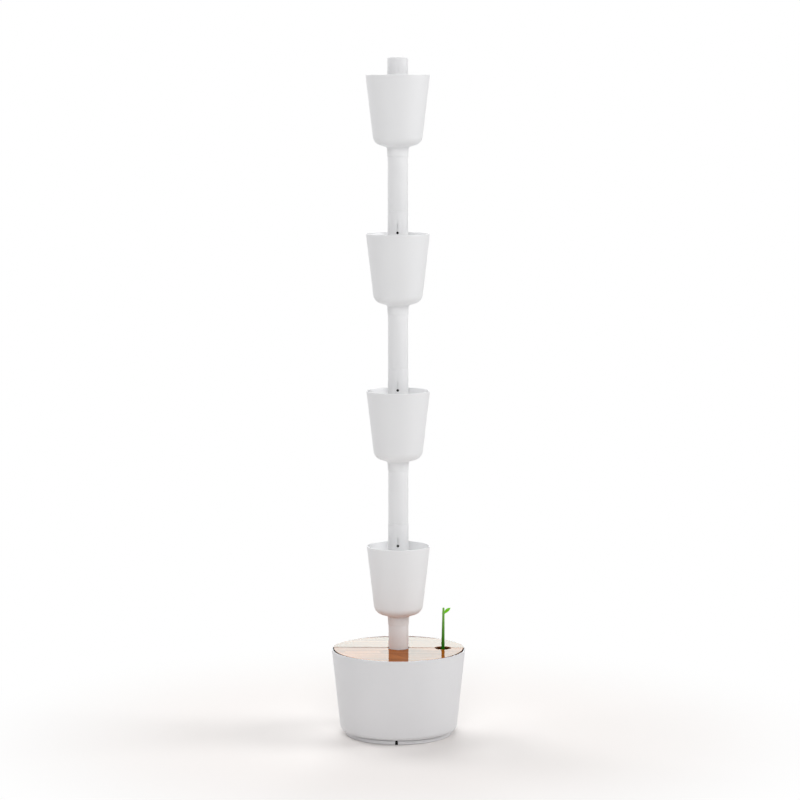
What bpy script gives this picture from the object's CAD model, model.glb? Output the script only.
# %% [markdown]
# A vertical planter, dressed in Blender.
# The real one stands on the floor: a round water reservoir with a split wooden lid, a slim column, and
# four pots that hang on it one above the other. A pump in the reservoir feeds a drip nozzle over each pot.
# The CAD model comes in first as a fixed frame. Its solids are exact, but they have plain edges and no
# finish. So the pieces that people see are made again here as smooth surfaces, and the hidden ones
# keep their CAD mesh and get a proper material.

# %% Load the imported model
import math

import bmesh
import bpy
import numpy as np
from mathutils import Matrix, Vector


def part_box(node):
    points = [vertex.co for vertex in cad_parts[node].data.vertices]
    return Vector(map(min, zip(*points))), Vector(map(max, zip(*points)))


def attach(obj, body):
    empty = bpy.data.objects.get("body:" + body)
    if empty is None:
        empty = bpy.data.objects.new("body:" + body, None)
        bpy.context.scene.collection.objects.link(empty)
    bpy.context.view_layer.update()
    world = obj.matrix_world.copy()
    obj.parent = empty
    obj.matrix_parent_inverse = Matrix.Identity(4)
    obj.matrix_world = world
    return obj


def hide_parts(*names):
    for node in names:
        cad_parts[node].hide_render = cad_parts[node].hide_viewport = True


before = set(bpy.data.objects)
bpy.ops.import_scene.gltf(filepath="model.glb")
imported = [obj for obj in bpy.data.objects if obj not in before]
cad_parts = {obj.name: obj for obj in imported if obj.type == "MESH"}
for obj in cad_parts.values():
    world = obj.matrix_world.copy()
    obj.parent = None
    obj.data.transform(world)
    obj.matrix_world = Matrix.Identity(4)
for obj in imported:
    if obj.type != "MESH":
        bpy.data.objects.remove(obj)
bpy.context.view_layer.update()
MM = 0.001

# %% [markdown]
# The camera stands level with the rim of the top pot, looks down by a few degrees and has a long lens. It
# is a little to the right of the planter's front, so it is also turned by 2.3 degrees to face it. It could
# be placed by eye, but the rims of the pots are circles, and how open each ellipse looks gives the height
# of the camera, while their widths give its distance. That was worked out once, and the result is written
# here as plain numbers.

# %% Camera
CAMERA_PLACE = (0.2337, -5.7052, 1.3176)
CAMERA_PITCH = 6.42
CAMERA_ROLL = 0.08
CAMERA_TURN = 2.3
LENS_MM = 130
SENSOR_MM = 36

scene = bpy.context.scene
camera = bpy.data.objects.new("camera", bpy.data.cameras.new("camera"))
camera.data.lens = LENS_MM
camera.data.sensor_width = SENSOR_MM
camera.location = CAMERA_PLACE
camera.rotation_euler = np.radians([90 - CAMERA_PITCH, CAMERA_ROLL, CAMERA_TURN]).tolist()
scene.collection.objects.link(camera)
scene.camera = camera
scene.view_settings.view_transform = "Standard"
print("camera height in mm:", round(camera.location.z / MM))
print("angle of view in degrees:", round(math.degrees(camera.data.angle), 2))

# %% [markdown]
# Three small helpers serve every material. Colours are written as the hex codes that a paint program shows,
# and Blender shades in linear light, so one function converts them. The second adds a node, sets it and
# links it in one line, which keeps each material readable from top to bottom. The third starts an empty
# material. Its patterns read Object coordinates, so they move with the piece.

# %% Helpers for colours and nodes
WHITE = (1, 1, 1, 1)


def colour(code):
    """Linear red, green, blue and alpha of an sRGB hex code: each channel below 0.04045 is divided by 12.92,
    and each other one has 0.055 added, is divided by 1.055 and raised to the power 2.4."""
    srgb = np.array([int(code[i:i + 2], 16) for i in (1, 3, 5)]) / 255
    linear = np.where(srgb <= 0.04045, srgb / 12.92, ((srgb + 0.055) / 1.055) ** 2.4)
    return (*linear.tolist(), 1.0)


def add(tree, kind, inputs, **settings):
    """Adds a shader node. Settings are the node's own properties, and an input is a value or a socket
    to link."""
    node = tree.nodes.new(f"ShaderNode{kind}")
    for key, value in settings.items():
        setattr(node, key, value)
    for key, value in inputs.items():
        if isinstance(value, bpy.types.NodeSocket):
            tree.links.new(value, node.inputs[key])
        else:
            node.inputs[key].default_value = value
    return node


def start_finish(name):
    """A new empty material, its node tree, and the Object coordinates that its patterns read."""
    material = bpy.data.materials.new(name)
    material.use_nodes = True
    material.node_tree.nodes.clear()
    return material, material.node_tree, add(material.node_tree, "TexCoord", {}).outputs["Object"]


print("mid grey in linear light:", round(colour("#808080")[0], 3))

# %% [markdown]
# The studio is a pale floor that runs out into white. A white room could be modelled, but it is simpler to
# let the world be white where the camera or a reflection sees it, and dimmer where it only lights the
# object. The floor takes the object's shadow near the planter and turns into plain white further out, so no
# horizon shows.

# %% World and floor
AMBIENT = 0.12
FLOOR_FAR_LIGHT = 0.78
FLOOR_HALF_SIZE = 9.0
FADE_START, FADE_END = 0.36, 0.95


def seen_directly(tree):
    """A socket that is 1 for rays of the camera, of reflections and through clear pieces, and 0 for rays
    that only carry light from one surface to another."""
    rays = add(tree, "LightPath", {}).outputs
    mirrored = add(tree, "Math", {0: rays["Is Camera Ray"], 1: rays["Is Glossy Ray"]}, operation="MAXIMUM")
    seen = add(tree, "Math", {0: mirrored.outputs[0], 1: rays["Is Transmission Ray"]}, operation="MAXIMUM")
    return seen.outputs[0]


world = bpy.data.worlds.new("white_studio")
world.use_nodes = True
scene.world = world
tree = world.node_tree
tree.nodes.clear()
level = add(tree, "MapRange", {"Value": seen_directly(tree), "To Min": AMBIENT, "To Max": 1.0})
white_air = add(tree, "Background", {"Color": WHITE, "Strength": level.outputs[0]})
add(tree, "OutputWorld", {"Surface": white_air.outputs[0]})

floor_paint, tree, place = start_finish("studio_floor")
reach = add(tree, "VectorMath", {0: place}, operation="LENGTH")
fade = add(tree, "MapRange", {"Value": reach.outputs["Value"], "From Min": FADE_START, "From Max": FADE_END},
           interpolation_type="SMOOTHSTEP")
level = add(tree, "MapRange", {"Value": seen_directly(tree), "To Min": FLOOR_FAR_LIGHT, "To Max": 1.0})
near = add(tree, "BsdfDiffuse", {"Color": colour("#F1EDEB")})
far = add(tree, "Emission", {"Color": WHITE, "Strength": level.outputs[0]})
both = add(tree, "MixShader", {0: fade.outputs[0], 1: near.outputs[0], 2: far.outputs[0]})
add(tree, "OutputMaterial", {"Surface": both.outputs[0]})

corners = FLOOR_HALF_SIZE * np.array([(-1, -1, 0), (1, -1, 0), (1, 1, 0), (-1, 1, 0)])
floor_mesh = bpy.data.meshes.new("studio_floor")
floor_mesh.from_pydata(corners.tolist(), [], [(0, 1, 2, 3)])
floor_mesh.materials.append(floor_paint)
studio_floor = bpy.data.objects.new("studio_floor", floor_mesh)
scene.collection.objects.link(studio_floor)
print("floor side in m:", 2 * FLOOR_HALF_SIZE)

# %% [markdown]
# Five square lamps, 3 m wide, stand round the planter: in front, at the right, behind at the left, and high
# up behind and at the left. Large faces give the soft shadows of a photo studio. Each lamp is given by the
# brightness of its face, because that is what a reflection shows, and its power is pi times its area times
# that brightness. The two upright panels behind the planter are there for the lid. Seen from low down, its
# varnish mirrors them, and they are slightly blue, so that the brown of the wood and their light together
# look almost white.

# %% Lamps
LAMPS = [
    # name, place, aim, width, height, brightness of the face, colour
    ("front_soft", (0.21, -5.2, 3.7), (0, 0, 0.7), 3.0, 3.0, 5.4, "#FFFFFF"),
    ("right_soft", (5.2, 0.21, 3.7), (0, 0, 0.7), 3.0, 3.0, 5.25, "#FFFFFF"),
    ("back_left_soft", (-3.81, 3.52, 3.7), (0, 0, 0.7), 3.0, 3.0, 4.8, "#FFFFFF"),
    ("back_top_soft", (-0.14, 3.44, 5.6), (0, 0, 0.7), 3.0, 3.0, 4.9, "#FFFFFF"),
    ("left_top_soft", (-3.44, -0.14, 5.6), (0, 0, 0.7), 3.0, 3.0, 1.7, "#FFFFFF"),
    ("back_panel_low", (-0.12, 3.0, 0.586), (0, 0, 0.586), 0.9, 0.376, 4.8, "#D0FAFF"),
    ("back_panel_high", (-0.12, 3.0, 0.914), (0, 0, 0.914), 0.9, 0.28, 5.1, "#DDFCFF"),
]
for name, lamp_place, aim, width, height, face, tint in LAMPS:
    light = bpy.data.lights.new(name, "AREA")
    light.shape = "RECTANGLE"
    light.size, light.size_y = width, height
    light.energy = math.pi * width * height * face
    light.color = colour(tint)[:3]
    lamp = bpy.data.objects.new(name, light)
    lamp.location = lamp_place
    lamp.rotation_euler = (Vector(aim) - Vector(lamp_place)).to_track_quat("-Z", "Y").to_euler()
    lamp.visible_camera = False
    scene.collection.objects.link(lamp)
print("lamps in watts:", [(name, round(bpy.data.lights[name].energy)) for name, *_ in LAMPS])

# %% [markdown]
# Two white plastics. The pots, the column and the cap are ABS, injection moulded in a finely spark-eroded
# mould. That gives the eye an even, neutral white with a satin face: a soft highlight, and a bright line
# where the surface turns away. The tub and the foot ring are polypropylene from the same kind of mould,
# which looks a little greyer. The grain of the mould is 0.05 mm and too fine to show, so it is drawn at
# 0.7 mm. Slow sink marks of a few centimetres bend the highlight a little, as on every large moulding.

# %% White moulded plastics
TONE_MM, GLOSS_MM, SINK_MM, GRAIN_MM = 80, 14, 35, 0.7


def white_moulding(name, dark, light_tone):
    """Satin white plastic: the tone drifts between two whites, and the gloss, the sink marks and the grain
    vary, each at a size of its own."""
    material, tree, place = start_finish(name)
    cloud = add(tree, "TexNoise", {"Vector": place, "Scale": 1 / (TONE_MM * MM), "Detail": 3.0})
    tone = add(tree, "Mix", {0: cloud.outputs[0], 6: colour(dark), 7: colour(light_tone)}, data_type="RGBA")
    gloss_patch = add(tree, "TexNoise", {"Vector": place, "Scale": 1 / (GLOSS_MM * MM), "Detail": 4.0})
    satin = add(tree, "MapRange", {"Value": gloss_patch.outputs[0], "To Min": 0.48, "To Max": 0.60})
    sink = add(tree, "TexNoise", {"Vector": place, "Scale": 1 / (SINK_MM * MM), "Detail": 1.0})
    waves = add(tree, "Bump", {"Height": sink.outputs[0], "Strength": 0.08, "Distance": 1.2 * MM})
    mould_grain = add(tree, "TexNoise", {"Vector": place, "Scale": 1 / (GRAIN_MM * MM), "Detail": 2.0})
    eroded = add(tree, "Bump", {"Height": mould_grain.outputs[0], "Strength": 0.10, "Distance": 0.05 * MM,
                                "Normal": waves.outputs[0]})
    shader = add(tree, "BsdfPrincipled", {"Base Color": tone.outputs[2], "Roughness": satin.outputs[0],
                                          "IOR": 1.53, "Normal": eroded.outputs[0]})
    add(tree, "OutputMaterial", {"Surface": shader.outputs[0]})
    print("finish:", name, len(tree.nodes), "nodes")
    return material


white_abs = white_moulding("white_abs_moulded_satin", "#ECECED", "#F1F1F2")
tub_white = white_moulding("white_polypropylene_moulded", "#E2E2E4", "#E7E7E9")

# %% [markdown]
# The lid is teak, planed and given several coats of clear gloss varnish. Growth bands some 26 mm broad run
# along it, with rings about 7 mm apart, fine fibres and short dark pores. Real pores are 0.3 mm wide and too
# fine to show, so they are drawn at 0.7 mm. Both halves are sawn from one panel, so the grain goes on across
# the split. Sawn edges soak up more varnish than the faces and look nearly black, which draws the thin
# lines at the split, the holes and the wall. The varnish is a coat of its own above the wood: seen from low
# down it mirrors the white studio, and the brown shows best where the column stands in the way.

# %% Varnished wood
RING_MM = 7
BAND_MM, BAND_SHIFT, FIBRE_MM, PORE_MM = (500, 26), 0.35, (60, 1.3), (9, 0.7)
PITH_PLACE_MM, PITH_DRIFT_MM, DRIFT_LENGTH_MM = (41, 63), 12, 140


def wave_scale(spacing_mm):
    """Scale of a wave texture whose bands lie some millimetres apart. At scale 1, Blender draws them a
    twentieth of two pi metres apart."""
    return 2 * math.pi / 20 / (spacing_mm * MM)


def grain_scale(sizes_mm):
    """Scale of a pattern that is drawn out along X: one over its length there, and one over its width in
    Y and Z."""
    along, across = sizes_mm
    return 1 / (along * MM), 1 / (across * MM), 1 / (across * MM)


teak, tree, place = start_finish("teak_gloss_varnished")
lean = add(tree, "Mapping", {"Vector": place, "Rotation": (0, math.radians(1.2), math.radians(1.6)),
                             "Location": (0, PITH_PLACE_MM[0] * MM, PITH_PLACE_MM[1] * MM)})
bend = add(tree, "TexNoise", {"Vector": place, "Scale": 1 / (DRIFT_LENGTH_MM * MM), "Detail": 2.0})
drift = add(tree, "VectorMath", {0: bend.outputs["Color"], 1: (0, PITH_DRIFT_MM * MM, PITH_DRIFT_MM * MM)},
            operation="MULTIPLY")
pith = add(tree, "VectorMath", {0: lean.outputs[0], 1: drift.outputs[0]}, operation="ADD")
rings = add(tree, "TexWave", {"Vector": pith.outputs[0], "Scale": wave_scale(RING_MM), "Distortion": 1.5,
                              "Detail": 2.0, "Detail Scale": 0.6},
            wave_type="RINGS", rings_direction="X", wave_profile="SAW")
long_way = add(tree, "Mapping", {"Vector": place, "Scale": grain_scale(FIBRE_MM)})
fibres = add(tree, "TexNoise", {"Vector": long_way.outputs[0], "Scale": 1.0, "Detail": 3.0})
short_way = add(tree, "Mapping", {"Vector": place, "Scale": grain_scale(PORE_MM)})
pore_noise = add(tree, "TexNoise", {"Vector": short_way.outputs[0], "Scale": 1.0, "Detail": 1.0})
pores = add(tree, "MapRange", {"Value": pore_noise.outputs[0], "From Min": 0.62, "From Max": 0.72})
broad_way = add(tree, "Mapping", {"Vector": place, "Location": (0, BAND_SHIFT, 0),
                                  "Scale": grain_scale(BAND_MM)})
broad_noise = add(tree, "TexNoise", {"Vector": broad_way.outputs[0], "Scale": 1.0, "Detail": 1.0})
broad = add(tree, "MapRange", {"Value": broad_noise.outputs[0], "From Min": 0.35, "From Max": 0.65,
                               "To Min": 0.0, "To Max": 0.6})
fibred = add(tree, "Mix", {0: fibres.outputs[0], 6: colour("#AC5E22"), 7: colour("#CC7E38")},
             data_type="RGBA")
early = add(tree, "Mix", {0: broad.outputs[0], 6: fibred.outputs[2], 7: colour("#8A480E")},
            data_type="RGBA")
late_share = add(tree, "Math", {0: rings.outputs["Fac"], 1: 0.55}, operation="MULTIPLY")
ringed = add(tree, "Mix", {0: late_share.outputs[0], 6: early.outputs[2], 7: colour("#8A4812")},
             data_type="RGBA")
pore_share = add(tree, "Math", {0: pores.outputs[0], 1: 0.5}, operation="MULTIPLY")
pored = add(tree, "Mix", {0: pore_share.outputs[0], 6: ringed.outputs[2], 7: colour("#4E2810")},
            data_type="RGBA")
facing = add(tree, "SeparateXYZ", {0: add(tree, "NewGeometry", {}).outputs["Normal"]})
edge_share = add(tree, "MapRange", {"Value": facing.outputs["Z"], "From Min": 0.2, "From Max": 0.9,
                                    "To Min": 0.85, "To Max": 0.0})
soaked = add(tree, "Mix", {0: edge_share.outputs[0], 6: pored.outputs[2], 7: colour("#2E150A")},
             data_type="RGBA")
grain_bump = add(tree, "Bump", {"Height": fibres.outputs[0], "Strength": 0.05, "Distance": 0.1 * MM})
shader = add(tree, "BsdfPrincipled", {"Base Color": soaked.outputs[2], "Roughness": 0.45, "IOR": 1.45,
                                      "Specular IOR Level": 0.0, "Coat Weight": 0.33, "Coat Roughness": 0.02,
                                      "Coat IOR": 1.5, "Normal": grain_bump.outputs[0]})
add(tree, "OutputMaterial", {"Surface": shader.outputs[0]})
print("finish:", teak.name, len(tree.nodes), "nodes")

# %% [markdown]
# The sprout is moulded polypropylene, coloured all through and a little waxy. The stem is dark where it
# leaves the lid and grows lighter towards its tip, so its colour follows the height. The leaf is a brighter
# green, with paler side veins.

# %% Green plastics of the sprout
STEM_DARK_Z, STEM_LIGHT_Z = 175, 255
STREAK_MM = (1.2, 1.2, 14)
LEAF_SLOPE, VEIN_MM, LEAF_PATCH_MM = 42, 2.4, 5

stem_green, tree, place = start_finish("green_polypropylene_stem")
climb = add(tree, "MapRange", {"Value": add(tree, "SeparateXYZ", {0: place}).outputs["Z"],
                               "From Min": STEM_DARK_Z * MM, "From Max": STEM_LIGHT_Z * MM})
fade = add(tree, "Mix", {0: climb.outputs[0], 6: colour("#0A6400"), 7: colour("#8AC65A")}, data_type="RGBA")
streak_place = add(tree, "Mapping", {"Vector": place, "Scale": tuple(1 / (size * MM) for size in STREAK_MM)})
streaks = add(tree, "TexNoise", {"Vector": streak_place.outputs[0], "Scale": 1.0, "Detail": 2.0})
streak_share = add(tree, "Math", {0: streaks.outputs[0], 1: 0.35}, operation="MULTIPLY")
streaked = add(tree, "Mix", {0: streak_share.outputs[0], 6: fade.outputs[2], 7: colour("#3A9414")},
               data_type="RGBA")
ridge = add(tree, "Bump", {"Height": streaks.outputs[0], "Strength": 0.15, "Distance": 0.2 * MM})
shader = add(tree, "BsdfPrincipled", {"Base Color": streaked.outputs[2], "Roughness": 0.42, "IOR": 1.49,
                                      "Specular IOR Level": 0.1, "Normal": ridge.outputs[0]})
add(tree, "OutputMaterial", {"Surface": shader.outputs[0]})

leaf_green, tree, place = start_finish("green_polypropylene_leaf")
along = add(tree, "Mapping", {"Vector": place, "Rotation": (0, math.radians(LEAF_SLOPE), 0)})
veins = add(tree, "TexWave", {"Vector": along.outputs[0], "Scale": wave_scale(VEIN_MM), "Distortion": 2.0},
            wave_type="BANDS", bands_direction="X", wave_profile="SIN")
patch = add(tree, "TexNoise", {"Vector": place, "Scale": 1 / (LEAF_PATCH_MM * MM), "Detail": 2.0})
blade = add(tree, "Mix", {0: patch.outputs[0], 6: colour("#66CA0A"), 7: colour("#8AE41E")}, data_type="RGBA")
vein_share = add(tree, "Math", {0: veins.outputs["Fac"], 1: 0.25}, operation="MULTIPLY")
veined = add(tree, "Mix", {0: vein_share.outputs[0], 6: blade.outputs[2], 7: colour("#9BD84E")},
             data_type="RGBA")
vein_bump = add(tree, "Bump", {"Height": veins.outputs["Fac"], "Strength": 0.2, "Distance": 0.2 * MM})
shader = add(tree, "BsdfPrincipled", {"Base Color": veined.outputs[2], "Roughness": 0.42, "IOR": 1.49,
                                      "Specular IOR Level": 0.12, "Normal": vein_bump.outputs[0]})
add(tree, "OutputMaterial", {"Surface": shader.outputs[0]})
print("finishes:", stem_green.name, leaf_green.name)

# %% [markdown]
# The other finishes belong to small or hidden pieces: black moulded plastic for the nozzles, the power
# inlet and the pump, rubber for the gland and the pump's lead and feet, stainless screws, a milky silicone
# hose, the foam float, the ivory rotor and its ceramic shaft. They differ in colour, gloss and the size of
# their surface grain, so one table gives those values and one loop builds the same small set of nodes for
# each. On most of the real ones the grain is too fine to show, so it is drawn at 0.3 to 2 mm.

# %% Finishes of the small and hidden pieces
# A row has the two colours of the mottling and its size, the low and high roughness, the size and depth of
# the grain, and the shader's own values. Sizes are in millimetres.
SMALL_FINISHES = {
    # A deep black with little sheen, so that the nozzles read as dark dots
    "black_abs_moulded": ("#080808", "#101011", 20, 0.42, 0.55, 0.6, 0.04,
                          {"IOR": 1.53, "Specular IOR Level": 0.2}),
    # A duller, greyer black without a clear highlight
    "black_rubber_moulded": ("#151515", "#222120", 12, 0.62, 0.80, 0.8, 0.08, {"IOR": 1.52}),
    # A pale grey metal with a slightly clouded shine
    "stainless_steel_rolled": ("#B9B9B6", "#D2D2CF", 3, 0.22, 0.36, 0.4, 0.02, {"Metallic": 1.0}),
    # A milky white that lets some light through
    "silicone_hose_extruded": ("#D9DEDE", "#E8ECEB", 30, 0.28, 0.40, 2.0, 0.05,
                               {"IOR": 1.41, "Transmission Weight": 0.25}),
    # A chalky cream with small dents and no shine
    "foam_closed_cell": ("#CFCBC0", "#E3E0D8", 4, 0.80, 0.95, 0.9, 0.25, {"IOR": 1.45}),
    # A warm ivory with a waxy sheen
    "ivory_nylon_moulded": ("#D8D2C0", "#E4DFCF", 10, 0.35, 0.48, 0.6, 0.03, {"IOR": 1.53}),
    # A hard, nearly white face with a small bright highlight
    "ceramic_ground": ("#E5E1D8", "#EFECE5", 5, 0.18, 0.28, 0.3, 0.01, {"IOR": 1.75}),
}
finishes = {}
for name, row in SMALL_FINISHES.items():
    dark, light_tone, mottle_mm, rough_low, rough_high, grain_mm, depth_mm, values = row
    finishes[name], tree, place = start_finish(name)
    mottle = add(tree, "TexNoise", {"Vector": place, "Scale": 1 / (mottle_mm * MM), "Detail": 3.0})
    tone = add(tree, "Mix", {0: mottle.outputs[0], 6: colour(dark), 7: colour(light_tone)}, data_type="RGBA")
    rough = add(tree, "MapRange", {"Value": mottle.outputs[0], "To Min": rough_low, "To Max": rough_high})
    grain = add(tree, "TexNoise", {"Vector": place, "Scale": 1 / (grain_mm * MM), "Detail": 2.0})
    bumps = add(tree, "Bump", {"Height": grain.outputs[0], "Strength": 0.3, "Distance": depth_mm * MM})
    shader = add(tree, "BsdfPrincipled", {"Base Color": tone.outputs[2], "Roughness": rough.outputs[0],
                                          "Normal": bumps.outputs[0], **values})
    add(tree, "OutputMaterial", {"Surface": shader.outputs[0]})
print("small finishes:", sorted(finishes))

# %% [markdown]
# Most pieces of this planter are turned shapes: a profile carried round an axis. Blender's Screw modifier
# or Spin could do that, but an array does it in one line, and the same few functions then serve the pieces
# that aren't round. A profile is drawn as corners with a radius each, as on a workshop drawing, in
# millimetres.

# %% Helpers for shapes
TURNS = 144
WELD_MM, SHARP_ANGLE = 0.001, 32


def whole_turn(steps):
    """Angles of that many even steps once round, without the last one, which is the first again."""
    return np.linspace(0, 2 * np.pi, steps, endpoint=False)


def eased(corners, steps=7):
    """Closed outline through corners (x, y, radius). Each corner becomes an arc that touches both sides: its
    centre lies on the corner's bisector, radius / sin(half angle) away, and the arc turns by what is left
    to a half turn."""
    corners = np.array(corners, float)
    here, radius = corners[:, :2], corners[:, 2:]
    back, ahead = np.roll(here, 1, axis=0) - here, np.roll(here, -1, axis=0) - here
    back /= np.linalg.norm(back, axis=1, keepdims=True)
    ahead /= np.linalg.norm(ahead, axis=1, keepdims=True)
    half = np.arccos(np.clip((back * ahead).sum(1, keepdims=True), -1, 1)) / 2
    middle = back + ahead
    length = np.linalg.norm(middle, axis=1, keepdims=True)
    middle = np.divide(middle, length, out=np.zeros_like(middle), where=length > 1e-9)
    centre = here + middle * radius / np.sin(half)
    start = here + back * radius / np.tan(half) - centre
    side = np.sign(back[:, :1] * ahead[:, 1:] - back[:, 1:] * ahead[:, :1])
    angle = np.arctan2(start[:, 1:], start[:, :1]) - side * (np.pi - 2 * half) * np.linspace(0, 1, steps)
    return (centre[:, None] + radius[:, None] * np.stack([np.cos(angle), np.sin(angle)], -1)).reshape(-1, 2)


def turned(profile, angles):
    """Carries (radius, height) points round the Z axis: x = radius cos(a), y = radius sin(a), z = height."""
    r, z = profile[:, :1], profile[:, 1:]
    return np.stack([r * np.cos(angles), r * np.sin(angles), z + 0 * angles], -1)


def grid(points, loop_rows=True, ends=()):
    """Points and faces of a grid: each four neighbours make a face. The last column joins the first, and with
    loop_rows the last row does too. Ends lists the rows (0 or -1) that one flat face closes."""
    rows, columns = points.shape[:2]
    index = np.arange(rows * columns).reshape(rows, columns)
    lids = [index[end] for end in ends]
    index = np.vstack([index, index[:1]]) if loop_rows else index
    index = np.hstack([index, index[:, :1]])
    faces = np.stack([index[:-1, :-1], index[:-1, 1:], index[1:, 1:], index[1:, :-1]], -1)
    return points.reshape(-1, 3), faces.reshape(-1, 4), lids


def piece(name, parts, body, slot, material, *nodes):
    """Makes one object of grids given in millimetres: welds their seams and poles, turns the faces outwards,
    smooths all but sharp edges, and ties the object to its body, slot, material and the CAD nodes that it
    stands for."""
    first = np.cumsum([0] + [len(points) for points, _, _ in parts])
    faces = [face for (_, quads, lids), start in zip(parts, first)
             for face in (quads + start).tolist() + [(lid + start).tolist() for lid in lids]]
    mesh = bpy.data.meshes.new(name)
    mesh.from_pydata((np.vstack([points for points, _, _ in parts]) * MM).tolist(), [], faces)
    form = bmesh.new()
    form.from_mesh(mesh)
    bmesh.ops.remove_doubles(form, verts=form.verts, dist=WELD_MM * MM)
    bmesh.ops.delete(form, geom=[edge for edge in form.edges if not edge.link_faces], context="EDGES")
    bmesh.ops.recalc_face_normals(form, faces=form.faces)
    form.to_mesh(mesh)
    form.free()
    mesh.shade_smooth()
    mesh.set_sharp_from_angle(angle=math.radians(SHARP_ANGLE))
    mesh.materials.append(material)
    made = bpy.data.objects.new(name, mesh)
    scene.collection.objects.link(made)
    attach(made, body)
    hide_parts(*nodes)
    print(name, "on", body, "faces:", len(mesh.polygons))


# %% [markdown]
# A pot is one thin moulding: a tapered wall with a rolled lip, a funnel bottom that sheds water to the
# middle, a neck that slips over the tube below and thins out to its end, and a hollow core that carries the
# coupling above. All of that is one closed profile, so the pot is one turned surface. Four overflow holes
# pierce the foot of the core. A Boolean could cut them, but it leaves long thin faces, so a ring of the
# core is left out and filled by four patches, each with a round hole in it.

# %% Pots
POT_COUNT = 4
RIM = {k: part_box(f"pot_{k}")[1].z / MM for k in range(1, POT_COUNT + 1)}
POT_RIM_R = (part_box("pot_1")[1].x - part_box("pot_1")[0].x) / 2 / MM
POT_BOTTOM_R, POT_CORNER_DROP, POT_CORNER_R, POT_WALL, LIP_R = 47.75, 134.0, 20.0, 2.5, 1.1
NECK_R, NECK_END_R, NECK_BORE_R, NECK_END_DROP = 21.5, 20.7, 20.1, 160.0
CORE_R, CORE_BORE_R, CORE_TOP_DROP = 20.0, 17.5, 6.0
SEAT_DROP, FUNNEL_FALL, NECK_FILLET = 130.0, math.tan(math.radians(17)), 5.0
HOLE_COUNT, HOLE_R, HOLE_DROP, PATCH_HALF = 4, 3.0, 121.5, 5.0
PATCH_SIDE_STEPS, PATCH_SPREAD = 9, (0, 0.1, 0.3, 0.6, 1)


def holed_ring(r_out, r_in, z, half, hole_r):
    """A tube's ring with four round holes. On each quarter, a loop of points goes round the hole: outside the
    wall it spreads from the quarter's border to the hole's circle, the two circles join through the wall, and
    inside it spreads back. A point at (a, h) on the wall is (r cos a, r sin a, z + h)."""
    quarter_half = np.pi / HOLE_COUNT
    across = np.linspace(-1, 1, TURNS // HOLE_COUNT + 1)
    side = np.linspace(-1, 1, PATCH_SIDE_STEPS)[1:-1]
    border = np.concatenate([
        np.stack([across, -np.ones_like(across)], 1), np.stack([np.ones_like(side), side], 1),
        np.stack([across[::-1], np.ones_like(across)], 1), np.stack([-np.ones_like(side), side[::-1]], 1)])
    border = border * (quarter_half, half)
    turn = np.arctan2(border[:, 1] / half, border[:, 0] / quarter_half)
    parts = []
    for hole in range(HOLE_COUNT):
        loops = []
        for r, spread in ((r_out, PATCH_SPREAD[::-1]), (r_in, PATCH_SPREAD)):
            circle = np.stack([hole_r / r * np.cos(turn), hole_r * np.sin(turn)], 1)
            for share in spread:
                a, h = (circle + share * (border - circle)).T
                a = a + hole * 2 * quarter_half
                loops.append(np.stack([r * np.cos(a), r * np.sin(a), z + h], -1))
        parts.append(grid(np.array(loops), loop_rows=False))
    return parts


for k, rim in RIM.items():
    floor_r, floor_z = POT_BOTTOM_R - POT_WALL, rim - POT_CORNER_DROP + POT_WALL
    step_z = rim - SEAT_DROP + POT_WALL
    core_top = eased([
        (CORE_R, rim - HOLE_DROP + PATCH_HALF, 0),
        (CORE_R, rim - CORE_TOP_DROP, 0.4),
        (CORE_BORE_R, rim - CORE_TOP_DROP, 0.4),
        (CORE_BORE_R, rim - HOLE_DROP + PATCH_HALF, 0),
    ])
    outline = eased([
        (CORE_BORE_R, rim - HOLE_DROP - PATCH_HALF, 0),
        (CORE_BORE_R, rim - SEAT_DROP, 0),
        (NECK_BORE_R, rim - SEAT_DROP, 0),
        (NECK_BORE_R, rim - NECK_END_DROP, 0.2),
        (NECK_END_R, rim - NECK_END_DROP, 0.3),
        (NECK_R, rim - POT_CORNER_DROP - (POT_BOTTOM_R - NECK_R) * FUNNEL_FALL, NECK_FILLET),
        (POT_BOTTOM_R, rim - POT_CORNER_DROP, POT_CORNER_R),
        (POT_RIM_R, rim, LIP_R),
        (POT_RIM_R - POT_WALL, rim, LIP_R),
        (floor_r, floor_z, POT_CORNER_R - POT_WALL),
        (NECK_R, floor_z - (floor_r - NECK_R) * FUNNEL_FALL, 1.5),
        (NECK_R, step_z, 0.3),
        (CORE_R, step_z, 0.2),
        (CORE_R, rim - HOLE_DROP - PATCH_HALF, 0),
    ], steps=13)
    parts = [grid(turned(line, whole_turn(TURNS)), loop_rows=False) for line in (core_top, outline)]
    parts += holed_ring(CORE_R, CORE_BORE_R, rim - HOLE_DROP, PATCH_HALF, HOLE_R)
    piece(f"pot_shell_{k}", parts, f"tier_{k}", "white_plastic", white_abs, f"pot_{k}")

# %% [markdown]
# The column is made of plain extruded tubes with a cutter's small bevel at each end. They show between the
# pots, so they are smooth turned surfaces too, and the bevel catches a thin line of light at each joint.
# Both ends stop a hair's breadth short, so that no two faces share one plane.

# %% Column tubes
TUBE_R, TUBE_BORE_R, TUBE_END_GAP = 20.0, 17.5, 0.05
for k in RIM:
    low, high = (corner.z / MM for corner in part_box(f"column_tube_{k}"))
    low, high = low + TUBE_END_GAP, high - TUBE_END_GAP
    outline = eased([
        (TUBE_BORE_R, low, 0.3), (TUBE_R, low, 0.5),
        (TUBE_R, high, 0.5), (TUBE_BORE_R, high, 0.3)])
    piece(f"column_sleeve_{k}", [grid(turned(outline, whole_turn(TURNS)))], f"column_{k}", "white_plastic",
          white_abs, f"column_tube_{k}")

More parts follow.
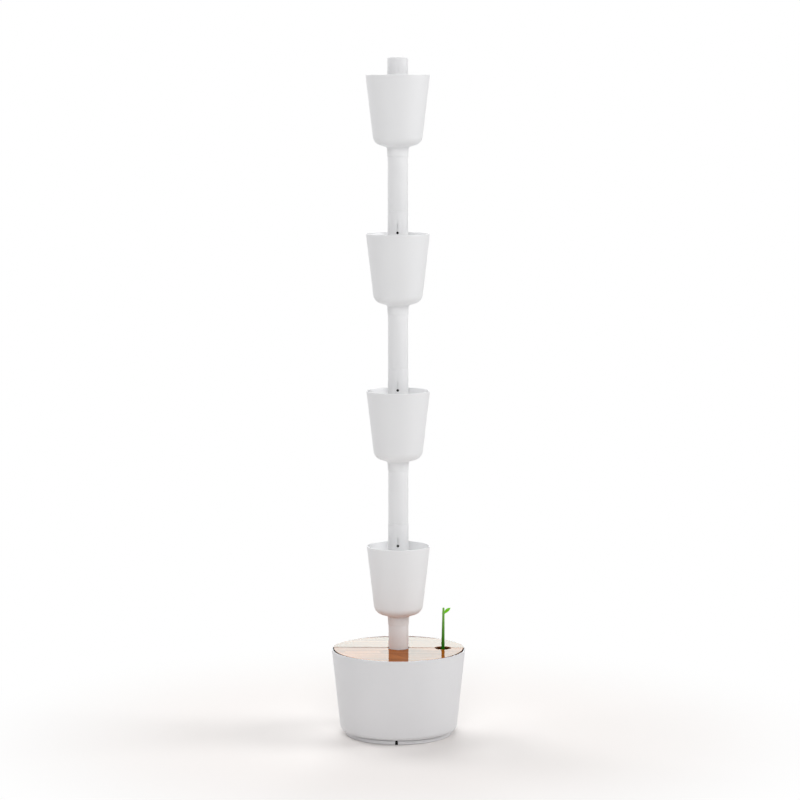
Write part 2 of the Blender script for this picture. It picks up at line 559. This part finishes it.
# %% [markdown]
# A drip coupling joins a pot to the tube above. It is a collar between two spigots, and on its front a
# shallow slot leads down to the nozzle. The slot could be cut with a Boolean. Here the collar is a grid of
# angle and height, and the radius drops by the slot's depth where both lie inside it, with grid lines
# placed on the slot's edges.

# %% Drip couplings
COLLAR_R, SPIGOT_R, COUPLING_BORE_R = 20.4, 17.4, 15.0
COLLAR_RISE, SPIGOT_LEN = 45.0, 24.0
NOZZLE_RISE, SLOT_H, SLOT_HALF, SLOT_DEPTH, SLOT_WALL = 2.5, 16.0, 0.9, 3.6, 0.08
SLOT_CLEAR_ANGLE, TOLERANCE = 0.06, 0.01

slot_edges = np.array([-SLOT_HALF, -SLOT_HALF + SLOT_WALL, 0, SLOT_HALF - SLOT_WALL, SLOT_HALF]) / COLLAR_R
plain_angles = np.linspace(SLOT_CLEAR_ANGLE, 2 * np.pi - SLOT_CLEAR_ANGLE, TURNS)
coupling_angles = -np.pi / 2 + np.concatenate([slot_edges, plain_angles])
off_middle = np.abs((coupling_angles + np.pi / 2) * COLLAR_R)
for k in range(1, POT_COUNT):
    rim = RIM[k]
    slot_low, slot_high = rim + NOZZLE_RISE, rim + NOZZLE_RISE + SLOT_H
    outline = eased([
        (COUPLING_BORE_R, rim - CORE_TOP_DROP - SPIGOT_LEN, 0.4),
        (SPIGOT_R, rim - CORE_TOP_DROP - SPIGOT_LEN, 0.8),
        (SPIGOT_R, rim - CORE_TOP_DROP, 0),
        (COLLAR_R, rim - CORE_TOP_DROP, 0.4),
        (COLLAR_R, slot_low - SLOT_WALL, 0),
        (COLLAR_R, slot_low, 0),
        (COLLAR_R, slot_high, 0),
        (COLLAR_R, slot_high + SLOT_WALL, 0),
        (COLLAR_R, rim + COLLAR_RISE, 0.35),
        (SPIGOT_R, rim + COLLAR_RISE, 0),
        (SPIGOT_R, rim + COLLAR_RISE + SPIGOT_LEN, 0.8),
        (COUPLING_BORE_R, rim + COLLAR_RISE + SPIGOT_LEN, 0.4),
    ])
    surface = turned(outline, coupling_angles)
    r, z = outline[:, :1], outline[:, 1:]
    inside = (r > COLLAR_R - TOLERANCE) & (off_middle < SLOT_HALF - TOLERANCE)
    inside = inside & (z > slot_low - TOLERANCE) & (z < slot_high + TOLERANCE)
    surface[..., :2] *= np.where(inside, 1 - SLOT_DEPTH / COLLAR_R, 1.0)[..., None]
    piece(f"drip_collar_{k}", [grid(surface)], f"tier_{k}", "white_plastic", white_abs, f"drip_coupling_{k}")

# %% [markdown]
# The end cap closes the column above the top pot. Its crown is a shallow dome with a soft edge: where the
# corner's arc lies lower than the dome, a parabola over the radius lifts it.

# %% End cap
top_rim = RIM[POT_COUNT]
cap_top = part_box("end_cap")[1].z / MM
CAP_CROWN, CAP_EDGE_R, CAP_WALL, DOME_SINK = 1.6, 4.0, 4.0, 0.4
edge_z = cap_top - CAP_CROWN
outline = eased([
    (0, edge_z - CAP_WALL, 0),
    (COUPLING_BORE_R, edge_z - CAP_WALL, 1.0),
    (COUPLING_BORE_R, top_rim - CORE_TOP_DROP - SPIGOT_LEN, 0.4),
    (SPIGOT_R, top_rim - CORE_TOP_DROP - SPIGOT_LEN, 0.8),
    (SPIGOT_R, top_rim - CORE_TOP_DROP, 0),
    (COLLAR_R, top_rim - CORE_TOP_DROP, 0.4),
    (COLLAR_R, edge_z, CAP_EDGE_R),
    (0, cap_top, 0),
])
crown = outline[:, 1] > edge_z
dome = edge_z - DOME_SINK + CAP_CROWN * (1 - (outline[crown, 0] / COLLAR_R) ** 2)
outline[crown, 1] = np.maximum(outline[crown, 1], dome)
piece("column_cap", [grid(turned(outline, whole_turn(TURNS)))], "cap", "white_plastic", white_abs, "end_cap")

# %% [markdown]
# The reservoir tub is the largest moulding: a thin tapered wall with a rounded rim and a rounded lower
# edge, a ledge inside for the lid, and bosses on its floor for the screws and the float's guide. The wall
# is one turned profile and each boss is a small turned shape moved to its place, all joined in one mesh.

# %% Reservoir tub
TUB_RIM_R = (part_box("reservoir_tub")[1].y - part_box("reservoir_tub")[0].y) / 2 / MM
tub_low, tub_rim = (corner.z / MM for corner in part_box("reservoir_tub"))
TUB_BOTTOM_R, TUB_WALL, TUB_CORNER_R, LID_SEAT, LEDGE_REACH = 116.5, 2.5, 11.0, 164.0, 6.5
TUB_FLOOR = tub_low + TUB_WALL
FLOAT_X = (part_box("level_float")[0].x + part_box("level_float")[1].x) / 2 / MM
SCREW_TURNS = np.radians([45, 135, 225, 315])
FOOT_SCREW_R, STAND_SCREW_R, SCREW_HOLE_R = 94.0, 56.985, 1.6
BOSS_R, FOOT_BOSS_H, STAND_BOSS_H, BOSS_SINK, BOSS_STEPS = 5.5, 9.0, 12.0, 1.0, 40
GUIDE_BOSS_R, GUIDE_BOSS_H = 13.9, 8.0


def wall_r(z):
    """Outside radius of the tub's straight tapered wall at a height: a line from the bottom's radius to the
    rim's."""
    return TUB_BOTTOM_R + (TUB_RIM_R - TUB_BOTTOM_R) * (z - tub_low) / (tub_rim - tub_low)


def boss(x, y, r, height, hole_r=0.0):
    """A turned post on the tub's floor, sunk a little into it, with a round hole down its middle if hole_r
    isn't 0."""
    top, bottom = TUB_FLOOR + height, TUB_FLOOR - BOSS_SINK
    outline = eased([(hole_r, bottom, 0), (r, bottom, 0), (r, top, 0.5), (hole_r, top, 0)], steps=4)
    return grid(turned(outline, whole_turn(BOSS_STEPS)) + (x, y, 0))


ledge_r = wall_r(LID_SEAT) - TUB_WALL - LEDGE_REACH
ledge_foot = LID_SEAT - TUB_WALL - LEDGE_REACH
outline = eased([
    (0, tub_low, 0),
    (TUB_BOTTOM_R, tub_low, TUB_CORNER_R),
    (TUB_RIM_R, tub_rim, LIP_R),
    (TUB_RIM_R - TUB_WALL, tub_rim, LIP_R),
    (wall_r(LID_SEAT) - TUB_WALL, LID_SEAT, 0.3),
    (ledge_r, LID_SEAT, 0.5),
    (ledge_r, LID_SEAT - TUB_WALL, 0.5),
    (wall_r(ledge_foot) - TUB_WALL, ledge_foot, 1.5),
    (TUB_BOTTOM_R - TUB_WALL, TUB_FLOOR, TUB_CORNER_R - TUB_WALL),
    (0, TUB_FLOOR, 0),
], steps=9)
parts = [grid(turned(outline, whole_turn(2 * TURNS)))]
for turn in SCREW_TURNS:
    across, depth = math.cos(turn), math.sin(turn)
    parts.append(boss(FOOT_SCREW_R * across, FOOT_SCREW_R * depth, BOSS_R, FOOT_BOSS_H))
    parts.append(boss(STAND_SCREW_R * across, STAND_SCREW_R * depth, BOSS_R, STAND_BOSS_H, SCREW_HOLE_R))
parts.append(boss(FLOAT_X, 0, GUIDE_BOSS_R, GUIDE_BOSS_H))
piece("reservoir_shell", parts, "base", "white_plastic", tub_white, "reservoir_tub")

# %% [markdown]
# The foot ring lifts the tub off the floor, and the power inlet stands in a gap in its front. A groove
# under the tub and a small toe at the floor are set back, so a dark line shows above and below the ring.
# The gap is wider at the floor than at the top. So the profile goes round from one side of the gap to the
# other, and the angle where each of its points starts is set by the half width of the gap at that height. A
# flat face closes each end.

# %% Foot ring
FOOT_R, FOOT_WALL, WEB_R, FOOT_H = 106.0, 4.0, 86.0, 9.0
GROOVE_H, GROOVE_DEPTH, TOE_H, TOE_DEPTH = 1.4, 2.5, 1.0, 2.0
GAP_LOW_HALF, GAP_TOP_HALF = 3.1, 2.4


def gapped_ring(outline):
    """Carries an outline round the Z axis from one side of the front gap to the other. A point at radius r
    starts at the angle whose sine is the gap's half width over r, counted from the front, and ends at the
    same angle on the other side."""
    r, z = outline[:, :1], outline[:, 1:]
    start = np.arcsin((GAP_LOW_HALF + (GAP_TOP_HALF - GAP_LOW_HALF) * z / FOOT_H) / r)
    angle = -np.pi / 2 + start + (2 * np.pi - 2 * start) * np.linspace(0, 1, 2 * TURNS + 1)
    return np.stack([r * np.cos(angle), r * np.sin(angle), z + 0 * angle], -1).transpose(1, 0, 2)


outline = eased([
    (FOOT_R - FOOT_WALL, 0, 0.4),
    (FOOT_R - TOE_DEPTH, 0, 0.3),
    (FOOT_R - TOE_DEPTH, TOE_H, 0.2),
    (FOOT_R, TOE_H, 0.4),
    (FOOT_R, FOOT_H - GROOVE_H, 0.4),
    (FOOT_R - GROOVE_DEPTH, FOOT_H - GROOVE_H, 0.2),
    (FOOT_R - GROOVE_DEPTH, FOOT_H, 0.2),
    (WEB_R, FOOT_H, 0.3),
    (WEB_R, FOOT_H - FOOT_WALL, 0.5),
    (FOOT_R - FOOT_WALL, FOOT_H - FOOT_WALL, 1),
])
piece("foot_ring_shell", [grid(gapped_ring(outline), loop_rows=False, ends=(0, -1))], "base", "white_plastic",
      tub_white, "foot_ring")

# %% [markdown]
# Each lid half is a board with a round outer edge, a straight inner edge, and bites out of it for the
# column and the sprout. Its edges are eased by a router, so the outline has to shrink evenly towards the
# top face. Every stretch of the outline is an arc or a line, and those shrink exactly: radii and distances
# change by the inset. The board is then a grid of steps along the outline and steps of the edge's profile,
# with one flat face on the top and one below. The rear half is eased more along the split, which draws a
# dark line there. Along the tub's wall both boards flare out towards the top, as the wall does. The top
# falls a little from the split to the wall, so that spilt water runs off it.

# %% Lid halves
FRONT_LID_R, REAR_LID_R = -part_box("front_lid")[0].y / MM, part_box("rear_lid")[1].y / MM
LID_T, LID_FALL, LID_SPLIT_HALF, COLUMN_HOLE_R, FLOAT_HOLE_R = 8.0, 2.8, 1.0, 21.6, 16.25
FRONT_EASE, REAR_EASE, WALL_EASE = 0.4, 1.6, 0.15
FRONT_FLARE, REAR_FLARE = 0.85, 1.3
FLAT_INSET, HOLD_INSET = 3.0, 0.1
LINE_STEPS, END_LINE_STEPS, HOLE_STEPS, ARC_STEPS, EASE_STEPS = 24, 12, 48, 144, 5
lid_room_r = wall_r(LID_SEAT) - TUB_WALL


def lid_outline(lid_r, inset, wall_inset):
    """Outline of a rear half of some radius, drawn in by an inset: along the split to the right, past the
    column's hole and the float's hole, which are half circles, and back round the outer arc, which has an
    inset of its own."""
    split, outer = LID_SPLIT_HALF + inset, lid_r - wall_inset
    end_x = math.sqrt(outer ** 2 - split ** 2)
    stretches = []
    x = -end_x
    for centre, radius in ((0.0, COLUMN_HOLE_R + inset), (FLOAT_X, FLOAT_HOLE_R + inset)):
        reach = math.sqrt(radius ** 2 - split ** 2)
        line = np.linspace(x, centre - reach, LINE_STEPS + 1)[:-1]
        stretches.append(np.stack([line, np.full_like(line, split)], 1))
        lift = math.asin(split / radius)
        a = np.linspace(np.pi - lift, lift, HOLE_STEPS + 1)[:-1]
        stretches.append(np.stack([centre + radius * np.cos(a), radius * np.sin(a)], 1))
        x = centre + reach
    line = np.linspace(x, end_x, END_LINE_STEPS + 1)[:-1]
    stretches.append(np.stack([line, np.full_like(line, split)], 1))
    lift = math.asin(split / outer)
    a = np.linspace(lift, np.pi - lift, ARC_STEPS + 1)[:-1]
    stretches.append(np.stack([outer * np.cos(a), outer * np.sin(a)], 1))
    return np.concatenate(stretches)


def edge_profile(ease):
    """Inset and height of an eased board's edge, from below to the top face: a quarter circle at each corner,
    and a row close beside it that keeps the flat faces flat in the shading."""
    quarter = np.linspace(0, np.pi / 2, EASE_STEPS + 1)
    flat = [ease + FLAT_INSET, ease + HOLD_INSET]
    inset = np.concatenate([flat, ease * (1 - np.sin(quarter)), ease * (1 - np.cos(quarter)), flat[::-1]])
    top = LID_T - ease * (1 - np.sin(quarter))
    rise = np.concatenate([[0, 0], ease * (1 - np.cos(quarter)), top, [LID_T, LID_T]])
    return inset, rise


def lid_board(side, lid_r, ease, flare):
    """A board on the front (-1) or rear (1) side. Each step of the edge's profile is one outline. Along the
    wall it has an ease of its own and moves out by the flare times its share of the height. The upper rows
    rise by the fall times what is left of the way to the wall."""
    (inset, rise), (wall_inset, wall_rise) = edge_profile(ease), edge_profile(WALL_EASE)
    wall_inset = wall_inset - flare * wall_rise / LID_T
    edges = np.array([lid_outline(lid_r, *insets) * (1, side) for insets in zip(inset, wall_inset)])
    heights = np.repeat(rise[:, None], edges.shape[1], axis=1)
    heights[:, -ARC_STEPS:] = wall_rise[:, None]
    heights = heights + (heights > LID_T / 2) * LID_FALL * (1 - np.abs(edges[..., 1]) / lid_room_r)
    return np.concatenate([edges, LID_SEAT + heights[..., None]], axis=2)


front_board = lid_board(-1, FRONT_LID_R, FRONT_EASE, FRONT_FLARE)
rear_board = lid_board(1, REAR_LID_R, REAR_EASE, REAR_FLARE)
piece("lid_board_front", [grid(front_board, loop_rows=False, ends=(0, -1))], "lid_front", "varnished_wood",
      teak, "front_lid")
piece("lid_board_rear", [grid(rear_board, loop_rows=False, ends=(0, -1))], "lid_rear", "varnished_wood",
      teak, "rear_lid")

# %% [markdown]
# The sprout shows the water level: a float under the lid carries it, and it sinks as the water does. The
# stem is a turned profile that tapers, swells a little where the leaf leaves it and leans slightly. The
# leaf is a grid of its own: along its length the width follows a sine, and round each section a flattened
# oval, folded along the midrib.

# %% Sprout
TIP_SETBACK = 0.4
STEM_FOOT_Z, STEM_TIP_Z = 159.0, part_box("sprout")[1].z / MM - TIP_SETBACK
STEM_FOOT_R, STEM_TIP_R, STEM_LEAN, TIP_ROUND = 3.7, 2.1, 1.3, 0.8
SWELL, SWELL_REACH = 0.35, 3.0
FLANGE_R, FLANGE_T, PIN_R = 5.0, 2.0, 2.5
STEM_STEPS, TIP_STEPS, STEM_TURNS = 40, 8, 48
LEAF_ROOT_X, LEAF_ROOT_Z, LEAF_LEN = 2.7, 245.0, 17.0
LEAF_HALF_W, LEAF_ROOT_W, LEAF_HALF_T, LEAF_FOLD, LEAF_BOW = 3.2, 0.9, 0.75, 0.28, 0.8
LEAF_SKEW, LEAF_FULLNESS, LEAF_THINNING, LEAF_TIP_CLOSING = 1.1, 0.8, 0.75, 12
LEAF_STEPS, LEAF_TURNS = 36, 40


def sprout_stem():
    """The stem's radius falls evenly from the foot to the tip, with a swelling at the leaf that fades as
    exp(-d * d) over the distance, and a flattened quarter circle rounds the tip. Below the foot, a pin with
    two flanges holds it in the float. Above the foot, x is shifted by the lean times the share of the
    height."""
    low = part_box("sprout")[0].z / MM
    rise = np.linspace(0, 1, STEM_STEPS)
    tip_h = STEM_TIP_R * TIP_ROUND
    z = STEM_FOOT_Z + rise * (STEM_TIP_Z - STEM_FOOT_Z - tip_h)
    swelling = SWELL * np.exp(-((z - LEAF_ROOT_Z) / SWELL_REACH) ** 2)
    r = STEM_FOOT_R + (STEM_TIP_R - STEM_FOOT_R) * rise + swelling
    tip = np.linspace(0, np.pi / 2, TIP_STEPS)[1:]
    pin = eased([
        (0, low, 0),
        (FLANGE_R, low, 0.5),
        (FLANGE_R, low + FLANGE_T, 0.5),
        (PIN_R, low + FLANGE_T, 0),
        (PIN_R, STEM_FOOT_Z - FLANGE_T, 0),
        (FLANGE_R, STEM_FOOT_Z - FLANGE_T, 0.5),
        (FLANGE_R, STEM_FOOT_Z, 0.7),
        (STEM_FOOT_R, STEM_FOOT_Z, 0.4),
    ])
    crest = np.stack([r[-1] * np.cos(tip), z[-1] + tip_h * np.sin(tip)], 1)
    profile = np.concatenate([pin, np.stack([r, z], 1), crest])
    stem = turned(profile, whole_turn(STEM_TURNS)) + (FLOAT_X, 0, 0)
    stem[..., 0] += STEM_LEAN * np.clip((stem[..., 2] - STEM_FOOT_Z) / (STEM_TIP_Z - STEM_FOOT_Z), 0, 1)
    return stem


def sprout_leaf():
    """A point at u along the leaf, from 0 to 1, and phi round its section, which is an oval. The half width
    is sin(pi u) with u raised to the skew and the sine to the fullness, plus a stalk that fades as (1 - u)
    cubed. The half thickness falls by the thinning and closes just before the tip. The fold moves a point
    back by its distance from the midrib, and the whole leaf bows by half a sine and rises at its slope."""
    u = np.linspace(0, 1, LEAF_STEPS)[:, None]
    phi = whole_turn(LEAF_TURNS)
    half_w = LEAF_HALF_W * np.sin(np.pi * u ** LEAF_SKEW) ** LEAF_FULLNESS + LEAF_ROOT_W * (1 - u) ** 3
    half_t = LEAF_HALF_T * (1 - LEAF_THINNING * u) * np.minimum(1, LEAF_TIP_CLOSING * (1 - u))
    across = half_w * np.cos(phi)
    depth = half_t * np.sin(phi) - LEAF_FOLD * (np.abs(across) - half_w / 2)
    length = LEAF_LEN * u + 0 * phi
    lift = across + LEAF_BOW * np.sin(np.pi * u)
    slope = math.radians(LEAF_SLOPE)
    return np.stack([
        FLOAT_X + LEAF_ROOT_X + length * math.cos(slope) - lift * math.sin(slope),
        depth,
        LEAF_ROOT_Z + length * math.sin(slope) + lift * math.cos(slope)], -1)


piece("sprout_stem", [grid(sprout_stem(), loop_rows=False)], "indicator", "green_plastic", stem_green,
      "sprout")
piece("sprout_leaf", [grid(sprout_leaf(), loop_rows=False, ends=(0, -1))], "indicator", "green_plastic",
      leaf_green, "sprout")

# %% [markdown]
# A nozzle is a small turned plug with a rounded lip outside the collar and a dimple in its face. It lies on
# its side, so the same turned profile is made round the Z axis and its coordinates are then swapped: height
# becomes depth. The one in the cap looks to the back.

# %% Nozzles
NOZZLE_BACK, NOZZLE_FACE, NOZZLE_TURNS = 13.5, 21.0, 40
NOZZLE_R, NOZZLE_LIP_R, NOZZLE_LIP_T = 2.2, 2.6, 0.65
DIMPLE_R, DIMPLE_FLOOR_R, DIMPLE_DEPTH = 1.3, 0.8, 0.45
nozzle = turned(eased([
    (0, NOZZLE_BACK, 0),
    (NOZZLE_R, NOZZLE_BACK, 0.3),
    (NOZZLE_R, NOZZLE_FACE - NOZZLE_LIP_T, 0),
    (NOZZLE_LIP_R, NOZZLE_FACE - NOZZLE_LIP_T, 0),
    (NOZZLE_LIP_R, NOZZLE_FACE, 0.3),
    (DIMPLE_R, NOZZLE_FACE, 0.15),
    (DIMPLE_FLOOR_R, NOZZLE_FACE - DIMPLE_DEPTH, 0.1),
    (0, NOZZLE_FACE - DIMPLE_DEPTH, 0),
]), whole_turn(NOZZLE_TURNS))
for k, rim in RIM.items():
    body, outwards = ("cap", 1) if k == POT_COUNT else (f"tier_{k}", -1)
    plug = np.stack([nozzle[..., 0], outwards * nozzle[..., 2], nozzle[..., 1] + rim + NOZZLE_RISE], -1)
    piece(f"nozzle_tip_{k}", [grid(plug)], body, "black_plastic", finishes["black_abs_moulded"],
          f"drip_nozzle_{k}")

# %% [markdown]
# The pieces inside the reservoir and the column are right as they come from CAD. They keep their meshes and
# only change their material.

# %% Finishes on the CAD nodes that stay
KEPT = [
    (white_abs, ["column_stand", "float_guide"]),
    (finishes["black_abs_moulded"], ["power_inlet", "pump_motor", "pump_volute", "pump_strainer", "cap_elbow",
                                     *[f"hose_tee_{k}" for k in range(1, POT_COUNT)]]),
    (finishes["black_rubber_moulded"], ["floor_gland", "pump_lead", "pump_feet"]),
    (finishes["stainless_steel_rolled"], ["foot_screws", "stand_screws"]),
    (finishes["silicone_hose_extruded"], [f"riser_hose_{k}" for k in RIM]),
    (finishes["foam_closed_cell"], ["level_float"]),
    (finishes["ivory_nylon_moulded"], ["pump_impeller"]),
    (finishes["ceramic_ground"], ["pump_shaft"]),
]
for finish, nodes in KEPT:
    for node in nodes:
        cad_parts[node].data.materials.clear()
        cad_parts[node].data.materials.append(finish)
print("CAD nodes with a new finish:", sum(len(nodes) for _, nodes in KEPT))
